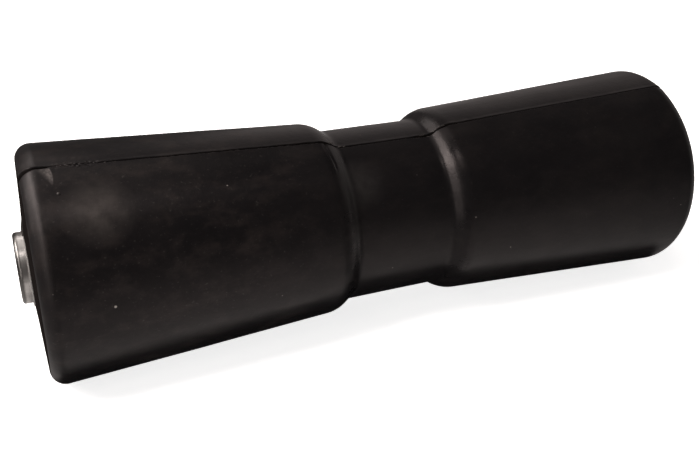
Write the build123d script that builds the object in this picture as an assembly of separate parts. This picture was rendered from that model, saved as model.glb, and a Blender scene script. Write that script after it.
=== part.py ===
from build123d import *
import math
import os

# Keel and bow roller for a boat trailer: a moulded rubber roller with a waist between two
# tapered flares, lined with a thin sleeve, turning on a steel tube whose ends stand proud.
#
# Frame: origin at the middle of the roller, on the axis it turns about. +Y runs along that
# axis, +Z is up, and the hull passes over the roller along X. Sizes are in millimetres.

# Rubber roller
ROLLER_LENGTH = 286.0  # between the outer edges of the two end faces
END_CROWN = 1.25  # each end face rises by this much from its outer edge to the sleeve
END_RADIUS = 47.5  # the flare's cone carried out to the end face, before the edge is rounded
SHOULDER_RADIUS = 41.15  # where the flare's cone stops, before the shoulder is rounded
WAIST_RADIUS = 36.95
SHOULDER_FROM_MIDDLE = 27.0
WAIST_FROM_MIDDLE = 20.9  # half of the waist's straight part, before the corner is filled
END_ROUND = 6.2
SHOULDER_ROUND = 13.0
WAIST_FILL = 5.0

# Steel axle tube, 28 x 3.5, for a 20 mm bolt or axle
TUBE_RADIUS = 14.0
TUBE_WALL = 3.5
TUBE_LENGTH = 297.0
TUBE_OUTER_ROUND = 1.4
TUBE_INNER_CHAMFER = 0.6

# Lining sleeve, bonded into the rubber and free on the tube
RUNNING_CLEARANCE = 0.08  # radial
SLEEVE_WALL = 1.52
SLEEVE_PROUD = 0.5  # beyond the crown of each end face
SLEEVE_CHAMFER = 0.3

tube_bore = TUBE_RADIUS - TUBE_WALL
sleeve_bore = TUBE_RADIUS + RUNNING_CLEARANCE
sleeve_radius = sleeve_bore + SLEEVE_WALL
crown_end = ROLLER_LENGTH / 2 + END_CROWN


def turned(outline):
    """The solid that a closed outline of (radius, y) points makes when it turns about Y."""
    return revolve(make_face(outline), Axis.Y)


def plain_tube(inner, outer, length):
    """A square-ended tube about Y, centred on the origin."""
    end = length / 2
    corners = [(inner, -end), (outer, -end), (outer, end), (inner, end)]
    return turned(Polyline(*corners, close=True))


def rims(solid, radius):
    """The circular edges of one radius, which for a plain tube are the two at its ends."""
    circles = solid.edges().filter_by(GeomType.CIRCLE)
    return [edge for edge in circles if math.isclose(edge.radius, radius, abs_tol=1e-6)]


def rubber_roller():
    """Two tapered flares with rounded edges, crowned ends and a straight waist, over a bore."""
    half = [
        (END_RADIUS, ROLLER_LENGTH / 2, END_ROUND),
        (SHOULDER_RADIUS, SHOULDER_FROM_MIDDLE, SHOULDER_ROUND),
        (WAIST_RADIUS, WAIST_FROM_MIDDLE, WAIST_FILL),
    ]
    corners = half + [(radius, -y, rounding) for radius, y, rounding in reversed(half)]
    top = (sleeve_radius, crown_end)
    bottom = (sleeve_radius, -crown_end)
    tread = FilletPolyline(
        top,
        *[(radius, y) for radius, y, _ in corners],
        bottom,
        radius=[rounding for _, _, rounding in corners],
    )
    return turned([tread, Line(bottom, top)])


def core_sleeve():
    """The hard liner that the rubber is bonded to, just proud of both end faces."""
    sleeve = plain_tube(sleeve_bore, sleeve_radius, 2 * (crown_end + SLEEVE_PROUD))
    ends = rims(sleeve, sleeve_bore) + rims(sleeve, sleeve_radius)
    return chamfer(ends, SLEEVE_CHAMFER)


def axle_tube():
    """The steel tube that the bracket's cheeks clamp and the roller turns on."""
    tube = plain_tube(tube_bore, TUBE_RADIUS, TUBE_LENGTH)
    tube = fillet(rims(tube, TUBE_RADIUS), TUBE_OUTER_ROUND)
    return chamfer(rims(tube, tube_bore), TUBE_INNER_CHAMFER)


parts = {
    "rubber_roller": rubber_roller(),
    "core_sleeve": core_sleeve(),
    "axle_tube": axle_tube(),
}

os.makedirs("parts", exist_ok=True)
for name, solid in parts.items():
    export_step(solid, f"parts/{name}.step")
    print(name, "volume", round(solid.volume), "valid", solid.is_valid)
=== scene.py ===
import math

import bmesh
import bpy
import numpy as np
from mathutils import Matrix, Vector, noise


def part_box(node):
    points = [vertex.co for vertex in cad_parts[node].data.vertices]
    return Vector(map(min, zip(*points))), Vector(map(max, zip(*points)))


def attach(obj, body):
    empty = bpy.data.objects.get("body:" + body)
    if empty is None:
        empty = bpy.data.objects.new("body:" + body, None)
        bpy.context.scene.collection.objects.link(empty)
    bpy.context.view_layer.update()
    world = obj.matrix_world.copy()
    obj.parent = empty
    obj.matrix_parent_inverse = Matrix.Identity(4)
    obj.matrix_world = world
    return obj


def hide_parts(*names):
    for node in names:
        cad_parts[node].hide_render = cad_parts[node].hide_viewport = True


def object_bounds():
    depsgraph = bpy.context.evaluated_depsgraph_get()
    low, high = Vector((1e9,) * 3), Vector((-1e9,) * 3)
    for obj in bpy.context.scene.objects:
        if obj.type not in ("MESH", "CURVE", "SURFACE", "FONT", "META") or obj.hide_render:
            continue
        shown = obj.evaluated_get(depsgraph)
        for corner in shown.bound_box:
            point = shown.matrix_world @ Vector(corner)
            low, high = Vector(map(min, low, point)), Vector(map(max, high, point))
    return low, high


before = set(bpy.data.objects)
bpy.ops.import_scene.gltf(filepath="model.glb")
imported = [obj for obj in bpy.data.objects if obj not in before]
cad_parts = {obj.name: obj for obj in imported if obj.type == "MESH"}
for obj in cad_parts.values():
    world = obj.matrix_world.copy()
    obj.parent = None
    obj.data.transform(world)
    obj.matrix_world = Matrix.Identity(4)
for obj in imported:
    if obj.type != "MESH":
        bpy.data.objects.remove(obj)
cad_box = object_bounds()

# The looks of a trailer keel roller: moulded black rubber with its parting seams and flash,
# a nylon sleeve's edge and a plated steel tube. Lengths are in metres, except in the two
# sections that say millimetres, and MM converts those.
MM = 0.001

# ---------------------------------------------------------------------------------- camera

CAMERA_PLACE = Vector((0.3419, -0.1451, 0.1558))
CAMERA_LOOK = Vector((-0.8457, 0.3735, -0.3812))
CAMERA_LENS = 46.5  # mm
CAMERA_SENSOR = 36.0  # mm wide
CAMERA_SHIFT = (-0.050, -0.0427)


def add_camera():
    camera = bpy.data.objects.new("camera", bpy.data.cameras.new("camera"))
    bpy.context.scene.collection.objects.link(camera)
    camera.data.lens = CAMERA_LENS
    camera.data.sensor_width = CAMERA_SENSOR
    camera.data.shift_x, camera.data.shift_y = CAMERA_SHIFT
    camera.data.clip_start = 0.01
    camera.location = CAMERA_PLACE
    camera.rotation_euler = CAMERA_LOOK.to_track_quat("-Z", "Y").to_euler()
    bpy.context.scene.camera = camera


# ---------------------------------------------------------------------------------- pieces


def new_object(name, mesh, smooth=True):
    mesh.polygons.foreach_set("use_smooth", [smooth] * len(mesh.polygons))
    piece = bpy.data.objects.new(name, mesh)
    bpy.context.scene.collection.objects.link(piece)
    return piece


def mesh_object(name, vertices, faces, smooth=True):
    mesh = bpy.data.meshes.new(name)
    mesh.from_pydata([tuple(v) for v in vertices], [], faces)
    mesh.validate()
    return new_object(name, mesh, smooth)


# ------------------------------------------------------------------------- the rubber's form
# Lengths in this section are in millimetres.

HALF_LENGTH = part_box("rubber_roller")[1].y / MM
HOLE_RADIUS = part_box("core_sleeve")[1].z / MM
HOLE_MARGIN = 0.6  # the hole's small rounding lies within this much of its wall
END_EDGE = 143.0  # y of the end face's outer edge; from there the face is crowned
END_RADIUS = 47.5  # of the end face, before its edge is rounded

# Half of the outline as (radius, y, rounding), from the end inwards
HALF_OUTLINE = [
    (HOLE_RADIUS, HALF_LENGTH, 0.4),
    (END_RADIUS, END_EDGE, 6.2),
    (41.15, 27.0, 13.0),
    (36.95, 20.9, 5.0),
]

# How far apart the mesh's rows are, as (y, spacing): close where the seam has most detail
ROW_SPACING = [
    (-150, 0.45), (-112, 0.5), (-104, 0.85), (-32, 0.85), (-30, 0.35), (-24, 0.35),
    (-21, 0.85), (6, 0.85), (12, 0.5), (48, 0.55), (56, 0.95), (134, 0.95), (138, 0.7),
    (150, 0.7),
]
FACE_RADIUS = 38.0  # the end faces have wide rows within this radius
FACE_ROW_SPACING = 1.6
SHORTEST_ROW = 0.4  # the least last row of a straight run, as a part of the spacing
FEWEST_ARC_ROWS = 4

SEAM_ANGLE = math.radians(70.5)  # above +X; the other seam is opposite
SEAM_SEEDS = [(0.0, 11), (math.pi, 57)]  # each seam's angle from the first, and its seed
FINE_COLUMN = 0.11  # width of the columns beside a seam
FINE_REACH = 1.0  # how far from the seam they go
COARSE_COLUMN = 2.6
COLUMN_GROWTH = 1.22
COLUMN_RADIUS = 42.0  # where the column widths are measured

# The seam's groove, as (y, half width, depth): open at the ends of the roller and at the
# shoulders, nearly closed where the two halves of the mould met well
GROOVE = [
    (-144, 1.3, 1.6), (-141, 1.0, 1.4), (-139, 0.6, 1.0), (-134, 0.5, 0.9),
    (-132, 0.16, 0.25), (-117, 0.16, 0.25), (-115, 0.24, 0.5), (-80, 0.32, 0.7),
    (-50, 0.4, 0.85), (-32, 0.5, 1.0), (-28, 0.62, 1.1), (-21, 0.6, 1.0), (-19, 0.3, 0.5),
    (-15, 0.34, 0.6), (0, 0.24, 0.45), (10, 0.28, 0.45), (13, 0.36, 0.6), (17, 0.65, 1.1),
    (22, 0.75, 1.2), (24, 0.26, 0.4), (26.5, 0.7, 1.1), (30.5, 0.7, 1.1), (34, 0.34, 0.6),
    (45, 0.28, 0.45), (55, 0.14, 0.22), (136, 0.14, 0.22), (138, 0.6, 0.9), (144, 0.8, 1.2),
]
GROOVE_FLOOR = 0.25  # the flat middle of the groove, as a part of its half width
OPEN_GROOVE = 0.3  # the skin is broken, and the rubber matt, where the groove is deeper

# The lips beside the groove, as (y, height above it, height below it)
LIPS = [
    (-144, 0.3, 0.0), (-134, 0.12, 0.0), (-128, 0.14, 0.0), (-95, 0.14, 0.05),
    (-60, 0.05, 0.12), (-30, 0.04, 0.05), (0, 0.12, 0.0), (20, 0.1, 0.08),
    (45, 0.12, 0.0), (138, 0.12, 0.0), (144, 0.1, 0.0),
]
LIP_OFFSET = 0.5  # of a lip's top from the groove's middle

CREST_HEIGHT = 0.28  # the low ridge that the seam runs along
CREST_REACH = 5.0

TORN = (-132.0, -115.0)  # where the flash was torn off and left the rubber ragged
TORN_HEIGHT = 0.6
TORN_REACH = 1.3

# The fold that runs from the first seam down the left shoulder
FOLD_TURN = math.radians(22)
FOLD_Y = -27.4  # at the seam
FOLD_DRIFT = 1.1  # towards +Y by its lower end
FOLD_DEPTH = 0.6
FOLD_LIP = 0.35
FOLD_SEED = 31

LEFT_FLARE = -22.0  # the moulding is wavier beyond this y
RIGHT_WAVES = 0.6  # how wavy the rest is, as a part of that


def in_hole(radius):
    """Whether a radius is that of the hole's wall or its small rounding."""
    return radius < HOLE_RADIUS + HOLE_MARGIN


def on_end_face(y):
    return np.abs(y) > END_EDGE - 0.02


def unit(vectors):
    return vectors / np.linalg.norm(vectors, axis=-1, keepdims=True)


def row_spacing(point):
    """How far apart the rows are at a point (radius, y)."""
    radius, y = point
    if on_end_face(y) and radius < FACE_RADIUS:
        return FACE_ROW_SPACING
    return float(np.interp(y, *zip(*ROW_SPACING)))


def corner_arc(before, corner, after, rounding):
    """Points along the arc that rounds a corner of the outline."""
    back = unit(before - corner)
    ahead = unit(after - corner)
    half_angle = math.acos(float(np.clip(back @ ahead, -1, 1))) / 2
    reach = rounding / math.tan(half_angle)
    centre = corner + unit(back + ahead) * rounding / math.sin(half_angle)
    start = math.atan2(*(corner + back * reach - centre)[::-1])
    turn = math.atan2(*(corner + ahead * reach - centre)[::-1]) - start
    turn = (turn + math.pi) % (2 * math.pi) - math.pi
    steps = max(FEWEST_ARC_ROWS, math.ceil(abs(turn) * rounding / row_spacing(corner)))
    angles = [start + turn * step / steps for step in range(steps + 1)]
    return [centre + rounding * np.array([math.cos(a), math.sin(a)]) for a in angles]


def rounded_outline(corners):
    """Points along the closed outline, with its corners rounded and rows all along it."""
    places = [np.array(corner[:2]) for corner in corners]
    points = []
    for i, (_, _, rounding) in enumerate(corners):
        after = places[(i + 1) % len(places)]
        points += corner_arc(places[i - 1], places[i], after, rounding)
    rows = []
    for point, target in zip(points, points[1:] + points[:1]):
        rows.append(point)
        gap = target - point
        length = float(np.linalg.norm(gap))
        if (in_hole(point[0]) and in_hole(target[0])) or length < row_spacing(point):
            continue
        run = row_spacing(point) / length
        while run < 1.0 - SHORTEST_ROW * row_spacing(point) / length:
            rows.append(point + gap * run)
            run += row_spacing(rows[-1]) / length
    return np.array(rows)


def seam_columns():
    """Angles from the first seam round the roller, close together at both seams."""
    offsets = [0.0]
    while offsets[-1] < FINE_REACH:
        offsets.append(offsets[-1] + FINE_COLUMN)
    width = FINE_COLUMN
    quarter_turn = math.pi * COLUMN_RADIUS / 2
    while offsets[-1] + width < quarter_turn:
        width = min(width * COLUMN_GROWTH, COARSE_COLUMN)
        offsets.append(offsets[-1] + width)
    one_side = np.array(offsets) * quarter_turn / offsets[-1] / COLUMN_RADIUS
    half_turn = np.concatenate([one_side[:-1], math.pi - one_side[:0:-1]])
    return np.concatenate([half_turn, half_turn + math.pi])


def wander(along, period, seed):
    """A smooth random line from -1 to 1 with one random value every `period`."""
    count = 2048
    values = np.random.default_rng(seed).uniform(-1, 1, count)
    place = along / period + count / 2
    low = np.floor(place).astype(int)
    blend = place - low
    blend = blend * blend * (3 - 2 * blend)
    return values[low] * (1 - blend) + values[low + 1] * blend


def bell(distance, reach):
    """1 at no distance, falling smoothly to 0 a few times `reach` away."""
    return np.exp(-((distance / reach) ** 2))


def seam_relief(across, y, seed):
    """Height of the seam's crest, lips and groove, `across` it at each `y`, and the groove."""
    places, half_widths, depths = zip(*GROOVE)
    half_width = np.interp(y, places, half_widths) * (1 + 0.25 * wander(y, 1.7, seed + 2))
    depth = np.interp(y, places, depths) * (1 + 0.25 * wander(y, 2.3, seed + 3))
    centre = 0.07 * wander(y, 0.9, seed) + 0.08 * wander(y, 5.0, seed + 1)
    side = across - centre
    groove = depth * np.clip(1 + GROOVE_FLOOR - np.abs(side) / half_width, 0, 1)

    places, above, below = zip(*LIPS)
    lips = np.where(side > 0, np.interp(y, places, above), np.interp(y, places, below))
    lips = lips * (1 + 0.4 * wander(y, 2.9, seed + 4)) * bell(np.abs(side) - LIP_OFFSET, 1.0)
    crest = CREST_HEIGHT * np.exp(-np.abs(across) / CREST_REACH)

    torn = np.clip(np.minimum(y - TORN[0], TORN[1] - y), 0, 1)
    rough = wander(y, 0.8, seed + 5) * wander(across + 0.3 * y, 0.5, seed + 6)
    rough = TORN_HEIGHT * rough * torn * bell(across, TORN_REACH)
    return crest + lips - groove + rough, groove


def fold_relief(y, angle):
    """Height of the fold, which fades on its way down, and of the lip on its left."""
    down = (SEAM_ANGLE - angle) % (2 * math.pi) / FOLD_TURN
    strength = np.clip(np.minimum(down * 8, (1 - down) * 1.6), 0, 1)
    apart = y - FOLD_Y - FOLD_DRIFT * down + 0.15 * wander(np.degrees(angle), 5, FOLD_SEED)
    return strength * (FOLD_LIP * bell(apart + 0.9, 0.5) - FOLD_DEPTH * bell(apart, 0.45))


def waviness(place):
    """The slow unevenness of a moulded surface: broad, small, and drawn out along Y."""
    strength = 1.0 if place.y < LEFT_FLARE else RIGHT_WAVES
    slow = noise.noise(place / 24) * 0.09 + noise.noise(place / 9) * 0.022
    drawn = noise.noise(Vector((place.x / 5, place.y / 55, place.z / 5))) * 0.02
    return strength * (slow + drawn)


def rubber_relief(outline, angles):
    """The height of the surface above its smooth form, and the depth of the seams' grooves."""
    radius = outline[:, 0][:, None]
    turn = angles[None, :] + SEAM_ANGLE
    smooth_x = radius * np.cos(turn)
    smooth_z = radius * np.sin(turn)
    y = np.broadcast_to(outline[:, 1][:, None], smooth_x.shape)
    height = np.zeros(smooth_x.shape)
    groove = np.zeros(smooth_x.shape)
    for seam, seed in SEAM_SEEDS:
        from_seam = (angles - seam + math.pi) % (2 * math.pi) - math.pi
        relief, depth = seam_relief(from_seam[None, :] * radius, y, seed)
        height += relief
        groove += depth
    height += fold_relief(y, turn)
    for spot in np.ndindex(height.shape):
        height[spot] += waviness(Vector((smooth_x[spot], y[spot], smooth_z[spot])))
    height[in_hole(outline[:, 0])] = 0.0
    return height, groove


def outward(outline):
    """Unit vectors (radius, y) that point out of the rubber, one for each row."""
    ahead = unit(np.roll(outline, -1, axis=0) - outline)
    behind = unit(outline - np.roll(outline, 1, axis=0))
    tangent = unit(ahead + behind)
    return np.stack([tangent[:, 1], -tangent[:, 0]], axis=1)


def closed_grid(rows, columns):
    """The faces of a grid of points that closes on itself both ways."""
    grid = np.arange(rows * columns).reshape(rows, columns)
    right = np.roll(grid, -1, axis=1)
    up = np.roll(grid, -1, axis=0)
    up_right = np.roll(right, -1, axis=0)
    return np.stack([grid, up, up_right, right], axis=-1).reshape(-1, 4).tolist()


def add_rubber(outline):
    """The rubber as one closed mesh, its outline turned about Y and shaped at the seams."""
    angles = seam_columns()
    height, groove = rubber_relief(outline, angles)
    normal = outward(outline)
    turn = angles[None, :] + SEAM_ANGLE
    radius = outline[:, 0][:, None] + normal[:, 0][:, None] * height
    y = outline[:, 1][:, None] + normal[:, 1][:, None] * height
    points = np.stack([radius * np.cos(turn), y, radius * np.sin(turn)], axis=-1)
    piece = mesh_object("rubber_moulding", points.reshape(-1, 3) * MM, closed_grid(*height.shape))

    on_end = on_end_face(outline[:, 1]) | in_hole(outline[:, 0])
    around = [groove, np.roll(groove, -1, axis=0), np.roll(groove, -1, axis=1)]
    matt = on_end[:, None] | (np.minimum.reduce(around) > OPEN_GROOVE)
    piece.data.materials.append(rubber_material())
    piece.data.materials.append(matt_rubber_material())
    piece.data.polygons.foreach_set("material_index", matt.astype(int).ravel())
    return piece


# --------------------------------------------------------------------------- flash and crumbs
# Lengths in this section are in millimetres.

# Crumbs and threads of flash, as (y, how far above the seam, long, wide, high, slant in degrees)
CRUMBS = [
    (-131.0, -12.3, 0.6, 0.55, 0.5, 0),
    (-25.0, 1.1, 1.5, 0.28, 0.45, -28),
    (-22.6, 2.9, 0.5, 0.45, 0.4, 0),
    (-19.6, 0.8, 1.2, 0.3, 0.5, 10),
    (-17.8, 0.6, 0.9, 0.25, 0.4, 0),
    (13.5, -0.9, 3.0, 0.16, 0.22, 4),
    (18.0, 1.0, 2.2, 0.2, 0.3, 4),
    (20.8, -1.2, 1.3, 0.2, 0.3, -14),
    (22.0, 4.6, 0.5, 0.3, 0.3, 40),
    (23.4, 0.5, 0.8, 0.35, 0.5, 25),
    (24.6, 0.9, 0.7, 0.35, 0.55, -10),
    (26.0, 0.9, 0.9, 0.32, 0.5, 8),
    (27.4, 0.8, 0.9, 0.28, 0.45, -6),
    (34.0, -1.0, 1.2, 0.2, 0.2, 0),
    (88.0, 0.5, 3.5, 0.14, 0.2, 1),
]
CRUMB_RADIUS = 44.0  # where their distances above the seam are measured
TREAD_RADIUS = 30.0  # less than any radius of the tread
TORN_CRUMBS = 15
TORN_CRUMB_HEIGHT = 0.4
TORN_CRUMB_SLANT = 40  # degrees
FLASH_SEED = 5

# The fin of flash down the left end face, as (radius, height off the face)
FIN = [(16.2, 0.75), (18.5, 0.95), (21.0, 0.85), (23.5, 0.55), (26.0, 0.12), (31.0, 0.05)]
FIN_FOOT = 0.56  # its width inside the rubber
FIN_TOP = 0.2
FIN_SUNK = 0.6


def crumbs_and_threads():
    """CRUMBS, and the ragged row of them along the torn stretch."""
    rng = np.random.default_rng(FLASH_SEED)
    torn = [
        (y, rng.uniform(-0.7, 1.3), rng.uniform(0.3, 0.8), rng.uniform(0.18, 0.35),
         TORN_CRUMB_HEIGHT, TORN_CRUMB_SLANT)
        for y in np.linspace(TORN[0] + 1, TORN[1] + 2, TORN_CRUMBS)
    ]
    return CRUMBS + torn


def on_surface(outline, y, angle):
    """The matrix whose axes are along Y, round the roller and out of its surface."""
    tread = outline[outline[:, 0] > TREAD_RADIUS]
    tread = tread[np.argsort(tread[:, 1])]
    radius = float(np.interp(y, tread[:, 1], tread[:, 0]))
    turn = Matrix.Rotation(-angle, 4, "Y")
    stand = Matrix(((0, 0, 1, radius), (1, 0, 0, y), (0, 1, 0, 0), (0, 0, 0, 1)))
    return turn @ stand


def add_crumb(shape, stand, size, slant):
    """An uneven lump half sunk into the rubber."""
    matrix = stand @ Matrix.Rotation(math.radians(slant), 4, "Z")
    matrix = matrix @ Matrix.Diagonal((*size, 1))
    own = Vector((stand.translation.y, 0, 0))  # makes each lump uneven in its own way
    for vertex in bmesh.ops.create_icosphere(shape, subdivisions=3, radius=1)["verts"]:
        vertex.co *= 1 + 0.25 * noise.noise(vertex.co * 1.7 + own)
        vertex.co = matrix @ vertex.co


def add_fin(shape):
    """A thin closed wedge along the seam on the left end face, its foot inside the rubber."""
    along = Vector((math.cos(SEAM_ANGLE), 0, math.sin(SEAM_ANGLE)))
    across = Vector((-math.sin(SEAM_ANGLE), 0, math.cos(SEAM_ANGLE)))
    crown = (HALF_LENGTH - END_EDGE) / (END_RADIUS - HOLE_RADIUS)
    rings = []
    for radius, height in FIN:
        face = -HALF_LENGTH + crown * (radius - HOLE_RADIUS)
        foot = face + FIN_SUNK
        top = face - height
        corners = [(-FIN_FOOT, foot), (-FIN_TOP, top), (FIN_TOP, top), (FIN_FOOT, foot)]
        rings.append([
            shape.verts.new(along * radius + across * width / 2 + Vector((0, y, 0)))
            for width, y in corners
        ])
    for ring, following in zip(rings, rings[1:]):
        for i in range(4):
            j = (i + 1) % 4
            shape.faces.new((ring[i], ring[j], following[j], following[i]))
    shape.faces.new(rings[0][::-1])
    shape.faces.new(rings[-1])


def add_flash(outline):
    """The loose ends that the mould's joint left, as one piece sunk into the rubber."""
    shape = bmesh.new()
    for y, above, *size, slant in crumbs_and_threads():
        stand = on_surface(outline, y, SEAM_ANGLE + above / CRUMB_RADIUS)
        add_crumb(shape, stand, size, slant)
    add_fin(shape)
    for vertex in shape.verts:
        vertex.co *= MM
    mesh = bpy.data.meshes.new("mould_flash")
    shape.to_mesh(mesh)
    shape.free()
    return new_object("mould_flash", mesh)


# ------------------------------------------------------------------------------- materials

BLACK = (0.0036, 0.0033, 0.0036, 1)
MOTTLED = (0.0052, 0.0046, 0.0047, 1)
SMUDGED = (0.0150, 0.0120, 0.0110, 1)
SPECKLED = (0.024, 0.022, 0.020, 1)
# the pale wedge's colour: partly a scrape, partly a painted highlight
SCRAPE_AND_HIGHLIGHT = (0.068, 0.061, 0.058, 1)
DUSTY = (0.20, 0.18, 0.165, 1)
MATT = [(0.0042, 0.0036, 0.0034, 1), (0.0075, 0.0062, 0.0058, 1)]
FLASH = [(0.012, 0.010, 0.009, 1), (0.045, 0.039, 0.036, 1)]
ZINC = [(0.42, 0.405, 0.39, 1), (0.56, 0.545, 0.525, 1)]
GRIMY = (0.16, 0.14, 0.125, 1)
# painted shade for the rounded edge of the tube's ends
PAINTED_EDGE_SHADE = (0.11, 0.106, 0.10, 1)
NYLON = [(0.10, 0.095, 0.09, 1), (0.17, 0.163, 0.155, 1)]
FLOOR = [(0.86, 0.86, 0.86, 1), (0.88, 0.88, 0.88, 1)]
SHADE = [(0.0, 0.0, 0.0, 1), (0.002, 0.002, 0.002, 1)]


class Nodes:
    """A short way to write a node tree."""

    def __init__(self, tree):
        self.tree = tree

    def feed(self, socket, value):
        """Link a socket to another node's output, or set it to a constant."""
        if isinstance(value, bpy.types.NodeSocket):
            self.tree.links.new(value, socket)
        else:
            socket.default_value = value

    def add(self, kind, inputs=None, **settings):
        node = self.tree.nodes.new(kind)
        for key, value in settings.items():
            setattr(node, key, value)
        for key, value in (inputs or {}).items():
            self.feed(node.inputs[key], value)
        return node

    def ramp(self, value, low, high, out_low=0.0, out_high=1.0):
        """`out_low` up to `low` and `out_high` from `high` on, with a straight line between."""
        inputs = {
            "Value": value,
            "From Min": low,
            "From Max": high,
            "To Min": out_low,
            "To Max": out_high,
        }
        return self.add("ShaderNodeMapRange", inputs).outputs["Result"]

    def maths(self, operation, a, b):
        return self.add("ShaderNodeMath", {0: a, 1: b}, operation=operation).outputs["Value"]

    def plus(self, a, b):
        return self.maths("ADD", a, b)

    def minus(self, a, b):
        return self.maths("SUBTRACT", a, b)

    def times(self, a, b):
        return self.maths("MULTIPLY", a, b)

    def vector_maths(self, operation, output, a, b):
        node = self.add("ShaderNodeVectorMath", {0: a, 1: b}, operation=operation)
        return node.outputs[output]

    def split(self, vector):
        """The X, Y and Z of a vector, or the red, green and blue of a colour."""
        return self.add("ShaderNodeSeparateXYZ", {"Vector": vector}).outputs


class Material(Nodes):
    """A material's node tree, with its shader and the object's own coordinates."""

    def __init__(self, name):
        self.material = bpy.data.materials.new(name)
        self.material.use_nodes = True
        super().__init__(self.material.node_tree)
        self.shader = self.tree.nodes["Principled BSDF"]
        self.place = self.add("ShaderNodeTexCoord").outputs["Object"]

    def set(self, name, value):
        """Feed one of the shader's inputs."""
        self.feed(self.shader.inputs[name], value)

    def stretch(self, x, y, z):
        """The coordinates scaled along each axis, for a pattern drawn out along one."""
        scale = {"Vector": self.place, "Scale": (x, y, z)}
        return self.add("ShaderNodeMapping", scale).outputs["Vector"]

    def noise(self, scale, detail=4.0, roughness=0.55, vector=None):
        inputs = {
            "Vector": vector or self.place,
            "Scale": scale,
            "Detail": detail,
            "Roughness": roughness,
        }
        return self.add("ShaderNodeTexNoise", inputs).outputs["Fac"]

    def mix(self, amount, a, b):
        node = self.add("ShaderNodeMix", data_type="RGBA")
        for name, value in (("Factor", amount), ("A", a), ("B", b)):
            socket = next(s for s in node.inputs if s.name == name and s.enabled)
            self.feed(socket, value)
        return next(s for s in node.outputs if s.enabled)

    def bump(self, height, strength, distance, under=None):
        inputs = {"Height": height, "Strength": strength, "Distance": distance}
        if under is not None:
            inputs["Normal"] = under
        return self.add("ShaderNodeBump", inputs).outputs["Normal"]

    def spot(self, place, inner, outer):
        """1 within `inner` metres of a place, falling to 0 at `outer`."""
        apart = self.vector_maths("DISTANCE", "Value", self.place, place)
        return self.ramp(apart, inner, outer, 1.0, 0.0)

    def from_middle(self):
        """The distance from the roller's middle, along Y."""
        return self.maths("ABSOLUTE", self.split(self.place)["Y"], 0)


def on_roller(y, angle, radius):
    """A place in metres from millimetres along Y, degrees above +X and a radius in mm."""
    turn = math.radians(angle)
    return Vector((radius * math.cos(turn), y, radius * math.sin(turn))) * MM


# Pale spots on the rubber, as (middle, reach, scale of the unevenness, its least, colour): the
# first, on the left flare, is a painted highlight, and the second, on the waist, is a smudge
HIGHLIGHT_AND_SMUDGE_SPOTS = [
    # a painted highlight on the left flare
    (on_roller(-119.0, 44.0, 46.2), 0.0145, 170, 0.35, (0.033, 0.029, 0.0265, 1)),
    (on_roller(-17.0, 42.0, 37.0), 0.012, 210, 0.3, (0.014, 0.013, 0.0125, 1)),
]
DUST_CELLS = 170  # a cell of about 6 mm holds at most one speck of dust
DUST_SIZES = (0.025, 0.06)  # as parts of a cell
GRAIN = on_roller(-118.5, 0.0, 46.2)  # one larger grain

# The pale wedge below the seam near the left end, partly a scrape left when the flash was trimmed
# and partly a painted highlight, in millimetres from its place on the seam: its right edge bulges
# to the right at one height, and its lower edge is slanted
PATCH_Y = -131.6
PATCH_RADIUS = 47.0
PATCH_BULGE = (5.0, 0.035)  # how far below the seam, and how strongly it curves
PATCH_LOWER_EDGE = (1.7, 11.0)  # slope, and distance below the seam at the right edge


def rubber_material():
    rubber = Material("moulded_rubber")
    rubber.set("Specular IOR Level", 0.16)
    rubber.set("Specular Tint", (1.0, 0.90, 0.88, 1))
    dust = rubber_dust(rubber)
    rubber.set("Base Color", rubber.mix(dust, rubber_colour(rubber), DUSTY))
    rubber.set("Roughness", rubber.plus(rubber_roughness(rubber), rubber.times(dust, 0.5)))
    skin = rubber.bump(rubber.noise(420, 4, 0.6), 0.22, 0.0003)
    rubber.set("Normal", rubber.bump(rubber.noise(2600, 2), 0.12, 0.0001, skin))
    return rubber.material


def rubber_colour(rubber):
    """Black, mottled, with smudges and specks that are strongest on the left flare, a painted
    highlight on that flare, and the pale wedge.
    """
    left = rubber.ramp(rubber.split(rubber.place)["Y"], -0.02, -0.07)
    tone = rubber.noise(38, 6, 0.62)
    colour = rubber.mix(rubber.ramp(tone, 0.35, 0.7), BLACK, MOTTLED)
    smudge = rubber.noise(1.0, 8, 0.7, rubber.stretch(120, 70, 120))
    smudge = rubber.ramp(smudge, 0.48, 0.74, 0.0, 0.8)
    smudge = rubber.times(smudge, rubber.ramp(left, 0, 1, 0.3, 1.0))
    colour = rubber.mix(smudge, colour, SMUDGED)
    speck = rubber.noise(1.0, 3, 0.5, rubber.stretch(1100, 800, 1100))
    speck = rubber.times(rubber.ramp(speck, 0.635, 0.76), rubber.ramp(left, 0, 1, 0.3, 0.8))
    colour = rubber.mix(speck, colour, SPECKLED)
    # pale spots: a painted highlight on the left flare, and a smudge on the waist
    for middle, reach, scale, least, pale in HIGHLIGHT_AND_SMUDGE_SPOTS:
        uneven = rubber.ramp(rubber.noise(scale, 5, 0.6), 0.3, 0.65, least, 1.0)
        highlight_and_smudge = rubber.times(rubber.spot(middle, 0.001, reach), uneven)
        colour = rubber.mix(highlight_and_smudge, colour, pale)
    # the pale wedge: partly a scrape, partly a painted highlight
    return rubber.mix(trimmed_patch_and_highlight(rubber), colour, SCRAPE_AND_HIGHLIGHT)


def rubber_dust(rubber):
    """Scattered round specks of dust, some clearer than others, and one larger grain."""
    cells = rubber.add("ShaderNodeTexVoronoi", {"Vector": rubber.place, "Scale": DUST_CELLS})
    drawn = rubber.split(cells.outputs["Color"])
    size = rubber.ramp(drawn["Y"], 0, 1, *DUST_SIZES)
    near = rubber.ramp(rubber.minus(size, cells.outputs["Distance"]), 0.0, 0.02)
    dust = rubber.times(near, rubber.ramp(drawn["X"], 0.55, 1.0, 0.0, 0.7))
    return rubber.maths("MAXIMUM", dust, rubber.spot(GRAIN, 0.0003, 0.0006))


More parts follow.
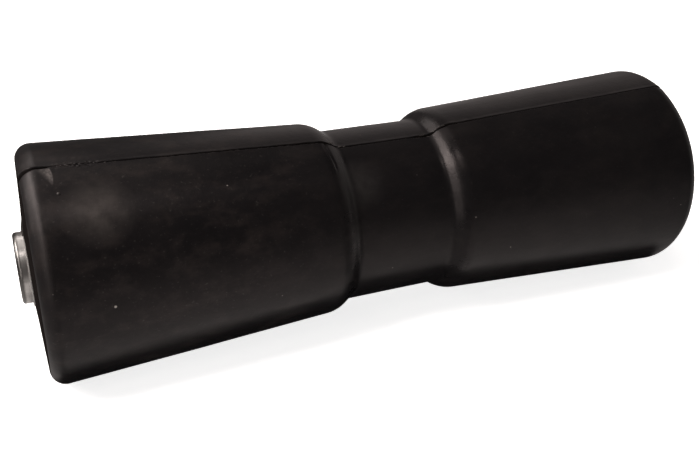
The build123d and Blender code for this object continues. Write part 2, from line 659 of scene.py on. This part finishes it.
def rubber_roughness(rubber):
    """Satin, in streaks and blotches: duller at the rims and smoother at the shoulders."""
    streaks = rubber.noise(1.0, 4, 0.6, rubber.stretch(190, 14, 190))
    blotches = rubber.noise(55, 6, 0.65)
    finish = rubber.plus(rubber.times(streaks, 0.45), rubber.times(blotches, 0.55))
    roughness = rubber.ramp(finish, 0.35, 0.65, 0.28, 0.40)
    from_middle = rubber.from_middle()
    rim = rubber.ramp(from_middle, 0.1365, 0.140, 0.0, 0.09)
    shoulder = rubber.ramp(from_middle, 0.019, 0.022)
    shoulder = rubber.times(shoulder, rubber.ramp(from_middle, 0.026, 0.032, 1.0, 0.0))
    return rubber.minus(rubber.plus(roughness, rim), rubber.times(shoulder, 0.05))


def trimmed_patch_and_highlight(rubber):
    """How much of the pale wedge shows, part scrape and part painted highlight: it fades to the
    left, and has one sharp edge.
    """
    corner = on_roller(PATCH_Y, math.degrees(SEAM_ANGLE), PATCH_RADIUS)
    offset = rubber.vector_maths("SUBTRACT", "Vector", rubber.place, corner)
    down = (math.sin(SEAM_ANGLE) / MM, 0, -math.cos(SEAM_ANGLE) / MM)
    below = rubber.vector_maths("DOT_PRODUCT", "Value", offset, down)
    along = rubber.vector_maths("DOT_PRODUCT", "Value", offset, (0, 1 / MM, 0))

    bulge_below, curvature = PATCH_BULGE
    bulge = rubber.maths("POWER", rubber.minus(below, bulge_below), 2.0)
    past_edge = rubber.plus(along, rubber.times(bulge, curvature))
    edge = rubber.ramp(past_edge, -0.35, 0.0, 1.0, 0.0)
    fading = rubber.ramp(along, -5.0, -1.5, 0.35, 1.0)

    slope, lowest = PATCH_LOWER_EDGE
    lower_edge = rubber.plus(rubber.times(along, slope), lowest)
    span = rubber.ramp(rubber.minus(lower_edge, below), 0.0, 4.0)
    span = rubber.times(span, rubber.ramp(below, 0.6, 1.1))

    patch_breakup = rubber.ramp(rubber.noise(900, 4), 0.32, 0.6, 0.35, 1.0)
    patch = rubber.times(rubber.times(edge, fading), span)
    return rubber.times(patch, patch_breakup)


def matt_rubber_material():
    """The end faces and the open parts of the seam's groove."""
    rubber = Material("matt_rubber")
    rubber.set("Specular IOR Level", 0.0)
    tone = rubber.noise(140, 5, 0.6)
    rubber.set("Base Color", rubber.mix(rubber.ramp(tone, 0.3, 0.7), *MATT))
    rubber.set("Roughness", rubber.ramp(tone, 0.3, 0.7, 0.8, 0.95))
    rubber.set("Normal", rubber.bump(rubber.noise(900, 4), 0.4, 0.0002))
    return rubber.material


def flash_material():
    flash = Material("rubber_flash")
    flash.set("Specular IOR Level", 0.25)
    tone = flash.noise(300, 4, 0.6)
    flash.set("Base Color", flash.mix(flash.ramp(tone, 0.3, 0.7), *FLASH))
    flash.set("Roughness", flash.ramp(tone, 0.3, 0.7, 0.35, 0.6))
    return flash.material


def steel_material():
    """Zinc plate, cloudy and grimy, with painted shade on the rounded edge of the tube's ends."""
    steel = Material("zinc_plate")
    steel.set("Metallic", 1.0)
    colour = steel.mix(steel.ramp(steel.noise(260, 5, 0.6), 0.3, 0.7), *ZINC)
    grime = steel.ramp(steel.noise(520, 6, 0.7), 0.6, 0.8, 0.0, 0.5)
    colour = steel.mix(grime, colour, GRIMY)
    # painted shade: the rounded edge at each end is darkened so that it mirrors less light
    rounded = steel.ramp(steel.from_middle(), 0.1466, 0.1473, 0.0, 0.9)
    steel.set("Base Color", steel.mix(rounded, colour, PAINTED_EDGE_SHADE))
    roughness = steel.ramp(steel.noise(500, 4, 0.6), 0.3, 0.7, 0.29, 0.35)
    steel.set("Roughness", steel.plus(roughness, steel.times(grime, 0.25)))
    drawn = steel.noise(1.0, 3, 0.6, steel.stretch(2500, 160, 2500))
    steel.set("Normal", steel.bump(drawn, 0.02, 0.00005))
    return steel.material


def nylon_material():
    nylon = Material("grey_nylon")
    tone = nylon.noise(700, 3)
    nylon.set("Base Color", nylon.mix(tone, *NYLON))
    nylon.set("Roughness", nylon.ramp(tone, 0.3, 0.7, 0.45, 0.6))
    return nylon.material


def floor_material():
    """Pale card that also gives off light, so that shadows on it stay faint."""
    floor = Material("pale_floor")
    floor.set("Base Color", floor.mix(floor.noise(6, 3), *FLOOR))
    floor.set("Roughness", 0.9)
    floor.set("Specular IOR Level", 0.1)
    floor.set("Emission Color", (1, 1, 1, 1))
    floor.set("Emission Strength", 0.8)
    return floor.material


def shade_material():
    shade = Material("contact_shade")
    shade.set("Specular IOR Level", 0.0)
    shade.set("Base Color", shade.mix(shade.noise(200, 3), *SHADE))
    return shade.material


def cover(piece, material):
    """Give a piece one material all over."""
    piece.data.materials.clear()
    piece.data.materials.append(material)


# --------------------------------------------------------------------------------- studio

WARM = (1.0, 0.93, 0.90)
WARMER = (1.0, 0.88, 0.85)

# Brightness of the studio's walls by height, from straight down (-1) to straight up (1)
WALLS = [
    (-1.0, 1.0), (-0.90, 1.0), (-0.75, 1.0), (-0.55, 0.86), (-0.32, 0.58), (-0.12, 0.065),
    (1.0, 0.055),
]
# How that brightness changes sideways, from the left (-1) to the right (1). The narrow bright
# step about 0 is what the tube mirrors.
SIDES = [
    (-1.0, 0.55), (-0.5, 0.55), (-0.12, 0.45), (-0.06, 0.95), (0.05, 0.95), (0.1, 0.5),
    (0.24, 1.0), (0.42, 0.85), (0.5, 0.68), (0.55, 0.3), (0.8, 0.3), (0.92, 0.9), (1.0, 0.9),
]
# How far the walls' bright part is moved down, from the left to the right, less HORIZON
DROPS = [
    (-1.0, 0.5), (-0.4, 0.5), (-0.12, 0.60), (-0.06, 0.37), (0.05, 0.37), (0.1, 0.555),
    (0.2, 0.48), (0.3, 0.44), (0.4, 0.3), (0.5, 0.28), (0.57, 0.5), (0.8, 0.5), (0.92, 0.38),
    (1.0, 0.38),
]
HORIZON = 0.5
WORLD_STRENGTH = 1.3

# The softboxes, as (name, place, what they face, (width, height), radiance, colour)
SOFTBOXES = [
    ("key", (-0.03, -0.78, 1.0), (0, 0, 0), (1.15, 0.42), 16.5, WARM),
    ("side", (-0.37, -1.14, 0.60), (0, -0.1, 0), (0.6, 0.5), 5.5, WARM),
    ("low_fill", (0.73, -0.68, 0.06), (0, 0, 0), (0.35, 0.35), 2.4, WARM),
    ("front_fill", (0.62, -0.68, 0.50), (0, 0, 0), (0.25, 0.45), 5.0, WARM),
    ("left_back", (-0.85, -0.36, 1.0), (0, 0, 0), (0.5, 0.5), 3.0, WARM),
    ("top", (0.31, -0.07, 0.77), (0.03, -0.12, 0), (0.18, 0.16), 7.6, WARM),
    ("ceiling", (-0.20, -0.15, 0.95), (0, -0.1, 0), (0.55, 0.4), 0.9, WARM),
    ("right_fill", (-0.1, 1.3, 0.40), (0, 0, 0), (1.2, 0.9), 0.5, WARM),
    ("backdrop", (-1.35, 1.0, 0.75), (0, 0.1, 0.1), (1.6, 1.4), 0.36, WARMER),
]

FLOOR_HALF_SIZE = 12.0
SHADE_HALF_WIDTH = 0.040
SHADE_HALF_LENGTH = 0.146
SHADE_BELOW_FLOOR = 0.0005


def flat_sheet(name, half_width, half_length, height, material):
    """A level rectangle centred below the roller."""
    corners = [
        (-half_width, -half_length, 0), (half_width, -half_length, 0),
        (half_width, half_length, 0), (-half_width, half_length, 0),
    ]
    sheet = mesh_object(name, corners, [(0, 1, 2, 3)], smooth=False)
    sheet.location.z = height
    cover(sheet, material)
    return sheet


def add_floor():
    """The floor, which the rubber doesn't mirror, and the dark that it mirrors in its place
    along the contact line, where neither floor nor walls light the underside."""
    under = cad_box[0][2]
    floor = flat_sheet("floor", FLOOR_HALF_SIZE, FLOOR_HALF_SIZE, under, floor_material())
    floor.visible_glossy = False
    shade = flat_sheet("contact_shade", SHADE_HALF_WIDTH, SHADE_HALF_LENGTH,
                       under - SHADE_BELOW_FLOOR, shade_material())
    shade.visible_camera = False
    shade.visible_diffuse = False
    shade.visible_shadow = False


def level_at(nodes, direction, levels):
    """The level that a table of (direction, level) gives, with straight lines between."""
    ramp = nodes.add("ShaderNodeValToRGB", {"Fac": nodes.ramp(direction, -1, 1)})
    stops = ramp.color_ramp.elements
    for number, (of_direction, level) in enumerate(levels):
        place = (of_direction + 1) / 2
        if number == 0:
            stop = stops[0]
        elif number == len(levels) - 1:
            stop = stops[-1]
        else:
            stop = stops.new(place)
        stop.position = place
        stop.color = (level, level, level, 1)
    return ramp.outputs["Color"]


def add_walls():
    """The studio's walls, as a world that is bright low down and dim higher up."""
    world = bpy.data.worlds.new("studio")
    bpy.context.scene.world = world
    world.use_nodes = True
    nodes = Nodes(world.node_tree)
    direction = nodes.split(nodes.add("ShaderNodeTexCoord").outputs["Generated"])
    drop = level_at(nodes, direction["Y"], DROPS)
    height = nodes.minus(nodes.plus(direction["Z"], drop), HORIZON)
    side = level_at(nodes, direction["Y"], SIDES)
    brightness = nodes.times(level_at(nodes, height, WALLS), side)
    scale = {"Vector": WARM, "Scale": brightness}
    colour = nodes.add("ShaderNodeVectorMath", scale, operation="SCALE").outputs["Vector"]
    background = world.node_tree.nodes["Background"]
    background.inputs["Strength"].default_value = WORLD_STRENGTH
    nodes.feed(background.inputs["Color"], colour)


def add_softbox(name, place, aim, size, radiance, colour):
    """A rectangular light that gives off the same radiance over its whole face."""
    width, height = size
    light = bpy.data.lights.new(name, "AREA")
    light.shape = "RECTANGLE"
    light.size = width
    light.size_y = height
    light.energy = radiance * math.pi * width * height
    light.color = colour
    lamp = bpy.data.objects.new(name, light)
    bpy.context.scene.collection.objects.link(lamp)
    lamp.location = place
    lamp.rotation_euler = (Vector(aim) - Vector(place)).to_track_quat("-Z", "Y").to_euler()
    lamp.visible_camera = False


# --------------------------------------------------------------------------------- making

bpy.context.scene.view_settings.view_transform = "Standard"
add_camera()
add_walls()
for softbox in SOFTBOXES:
    add_softbox(*softbox)
add_floor()

left_half = [(radius, -y, rounding) for radius, y, rounding in HALF_OUTLINE]
outline = rounded_outline(left_half + HALF_OUTLINE[::-1])
rubber = add_rubber(outline)
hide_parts("rubber_roller")
flash = add_flash(outline)
cover(flash, flash_material())
for moulded in (rubber, flash):
    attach(moulded, "roller")

cover(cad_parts["core_sleeve"], nylon_material())
cover(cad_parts["axle_tube"], steel_material())
